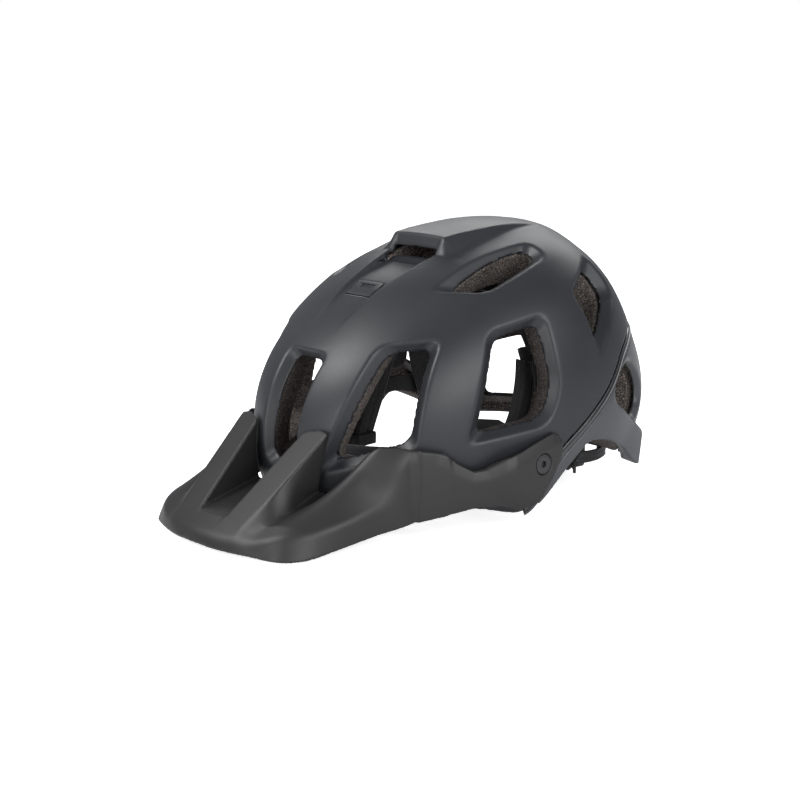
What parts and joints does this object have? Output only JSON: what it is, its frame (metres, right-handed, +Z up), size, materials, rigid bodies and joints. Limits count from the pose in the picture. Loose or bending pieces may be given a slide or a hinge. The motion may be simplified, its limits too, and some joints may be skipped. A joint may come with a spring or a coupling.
{
  "type": "cycling helmet",
  "caption": "Trail cycling helmet with large vents, tilting visor, foam liner, comfort pads, stowed chin strap and dial-adjusted nape cradle.",
  "frame": {"origin": "middle of the bounding box's underside, on the ground plane", "axes": "+X towards the wearer's left, +Y towards the back of the head (the visor points to -Y), +Z up"},
  "size_m": [0.2228, 0.3307, 0.1797],
  "materials": {
    "shell_black": "matt black moulded polycarbonate",
    "shell_grey": "satin dark grey polycarbonate",
    "seam_gloss": "gloss black edging",
    "foam": "expanded foam, beads showing",
    "visor_grey": "matt dark grey moulded plastic",
    "hardware_black": "black moulded plastic",
    "nut_brass": "turned brass",
    "screw_steel": "zinc plated steel",
    "washer_rubber": "matt rubber",
    "pad_fabric": "brushed knit over soft foam",
    "webbing": "woven polyester webbing",
    "nylon": "moulded nylon",
    "rack_nylon": "moulded nylon, dark grey",
    "hook_tape": "hook tape"
  },
  "bodies": {
    "helmet": {"foam_liner": "foam", "upper_shell": "shell_black", "lower_shell": "shell_grey", "seam_band": "seam_gloss", "friction_washers": "washer_rubber", "visor_nuts": "nut_brass", "accessory_socket": "nylon", "strap_anchors_front": "nylon", "strap_anchors_rear": "nylon", "brow_pad": "pad_fabric", "side_pad_left": "pad_fabric", "side_pad_right": "pad_fabric", "crown_pad_centre": "pad_fabric", "crown_pad_left": "pad_fabric", "crown_pad_right": "pad_fabric", "pad_fasteners": "hook_tape", "headband": "nylon", "headband_anchors": "nylon", "height_rail": "nylon", "side_strap_left": "webbing", "side_strap_right": "webbing", "divider_left": "nylon", "divider_right": "nylon", "chin_strap_left": "webbing", "chin_strap_right": "webbing", "buckle_female": "hardware_black"},
    "visor": {"visor": "visor_grey"},
    "visor_screw_left": {"visor_screw_left": "hardware_black"},
    "visor_screw_right": {"visor_screw_right": "hardware_black"},
    "mount_cover": {"mount_cover": "shell_black"},
    "cradle": {"cradle": "nylon", "cradle_pads": "pad_fabric", "dial_housing": "nylon", "housing_screws": "screw_steel"},
    "dial": {"fit_dial": "washer_rubber", "dial_pinion": "rack_nylon"},
    "rack_left": {"rack_left": "rack_nylon"},
    "rack_right": {"rack_right": "rack_nylon"},
    "lever_left": {"divider_lever_left": "hardware_black"},
    "lever_right": {"divider_lever_right": "hardware_black"},
    "buckle_male": {"buckle_male": "hardware_black"},
    "strap_keeper": {"strap_keeper": "washer_rubber"}
  },
  "joints": [
    {"name": "visor_tilt", "type": "hinge", "parent": "helmet", "child": "visor", "pos_m": [0, 0.0126, 0.042], "axis": [-1, 0, 0], "range_deg": [0, 15]},
    {"name": "visor_screw_left_turn", "type": "hinge", "parent": "helmet", "child": "visor_screw_left", "pos_m": [0.1, 0.0126, 0.042], "axis": [1, 0, 0], "continuous": true},
    {"name": "visor_screw_right_turn", "type": "hinge", "parent": "helmet", "child": "visor_screw_right", "pos_m": [-0.1, 0.0126, 0.042], "axis": [1, 0, 0], "continuous": true},
    {"name": "mount_cover_lift", "type": "slide", "parent": "helmet", "child": "mount_cover", "axis": [0, -0.5299, 0.848], "range_m": [0, 0.015]},
    {"name": "cradle_height", "type": "slide", "parent": "helmet", "child": "cradle", "axis": [0, 0, 1], "range_m": [-0.013, 0]},
    {"name": "dial_spin", "type": "hinge", "parent": "cradle", "child": "dial", "pos_m": [0, 0.1416, 0.017], "axis": [0, -1, 0], "range_deg": [-23, 160]},
    {"name": "rack_left_slide", "type": "slide", "parent": "cradle", "child": "rack_left", "axis": [-1, 0, 0], "range_m": [-0.0021, 0.0141]},
    {"name": "rack_right_slide", "type": "slide", "parent": "cradle", "child": "rack_right", "axis": [1, 0, 0], "range_m": [-0.0021, 0.0141]},
    {"name": "lever_left_open", "type": "hinge", "parent": "helmet", "child": "lever_left", "pos_m": [0.05946, 0.0546, 0.09139], "axis": [0, -1, 0], "range_deg": [0, 70]},
    {"name": "lever_right_open", "type": "hinge", "parent": "helmet", "child": "lever_right", "pos_m": [-0.05946, 0.0546, 0.09139], "axis": [0, 1, 0], "range_deg": [0, 70]},
    {"name": "buckle_release", "type": "slide", "parent": "helmet", "child": "buckle_male", "axis": [-1, 0, 0], "range_m": [0, 0.011]},
    {"name": "strap_keeper_slide", "type": "slide", "parent": "helmet", "child": "strap_keeper", "axis": [0.7771, 0, -0.6293], "range_m": [-0.003, 0.003]}
  ],
  "couplings": [
    {"joint": "rack_left_slide", "follows": "dial_spin", "m_per_rad": 0.005},
    {"joint": "rack_right_slide", "follows": "dial_spin", "m_per_rad": 0.005}
  ]
}
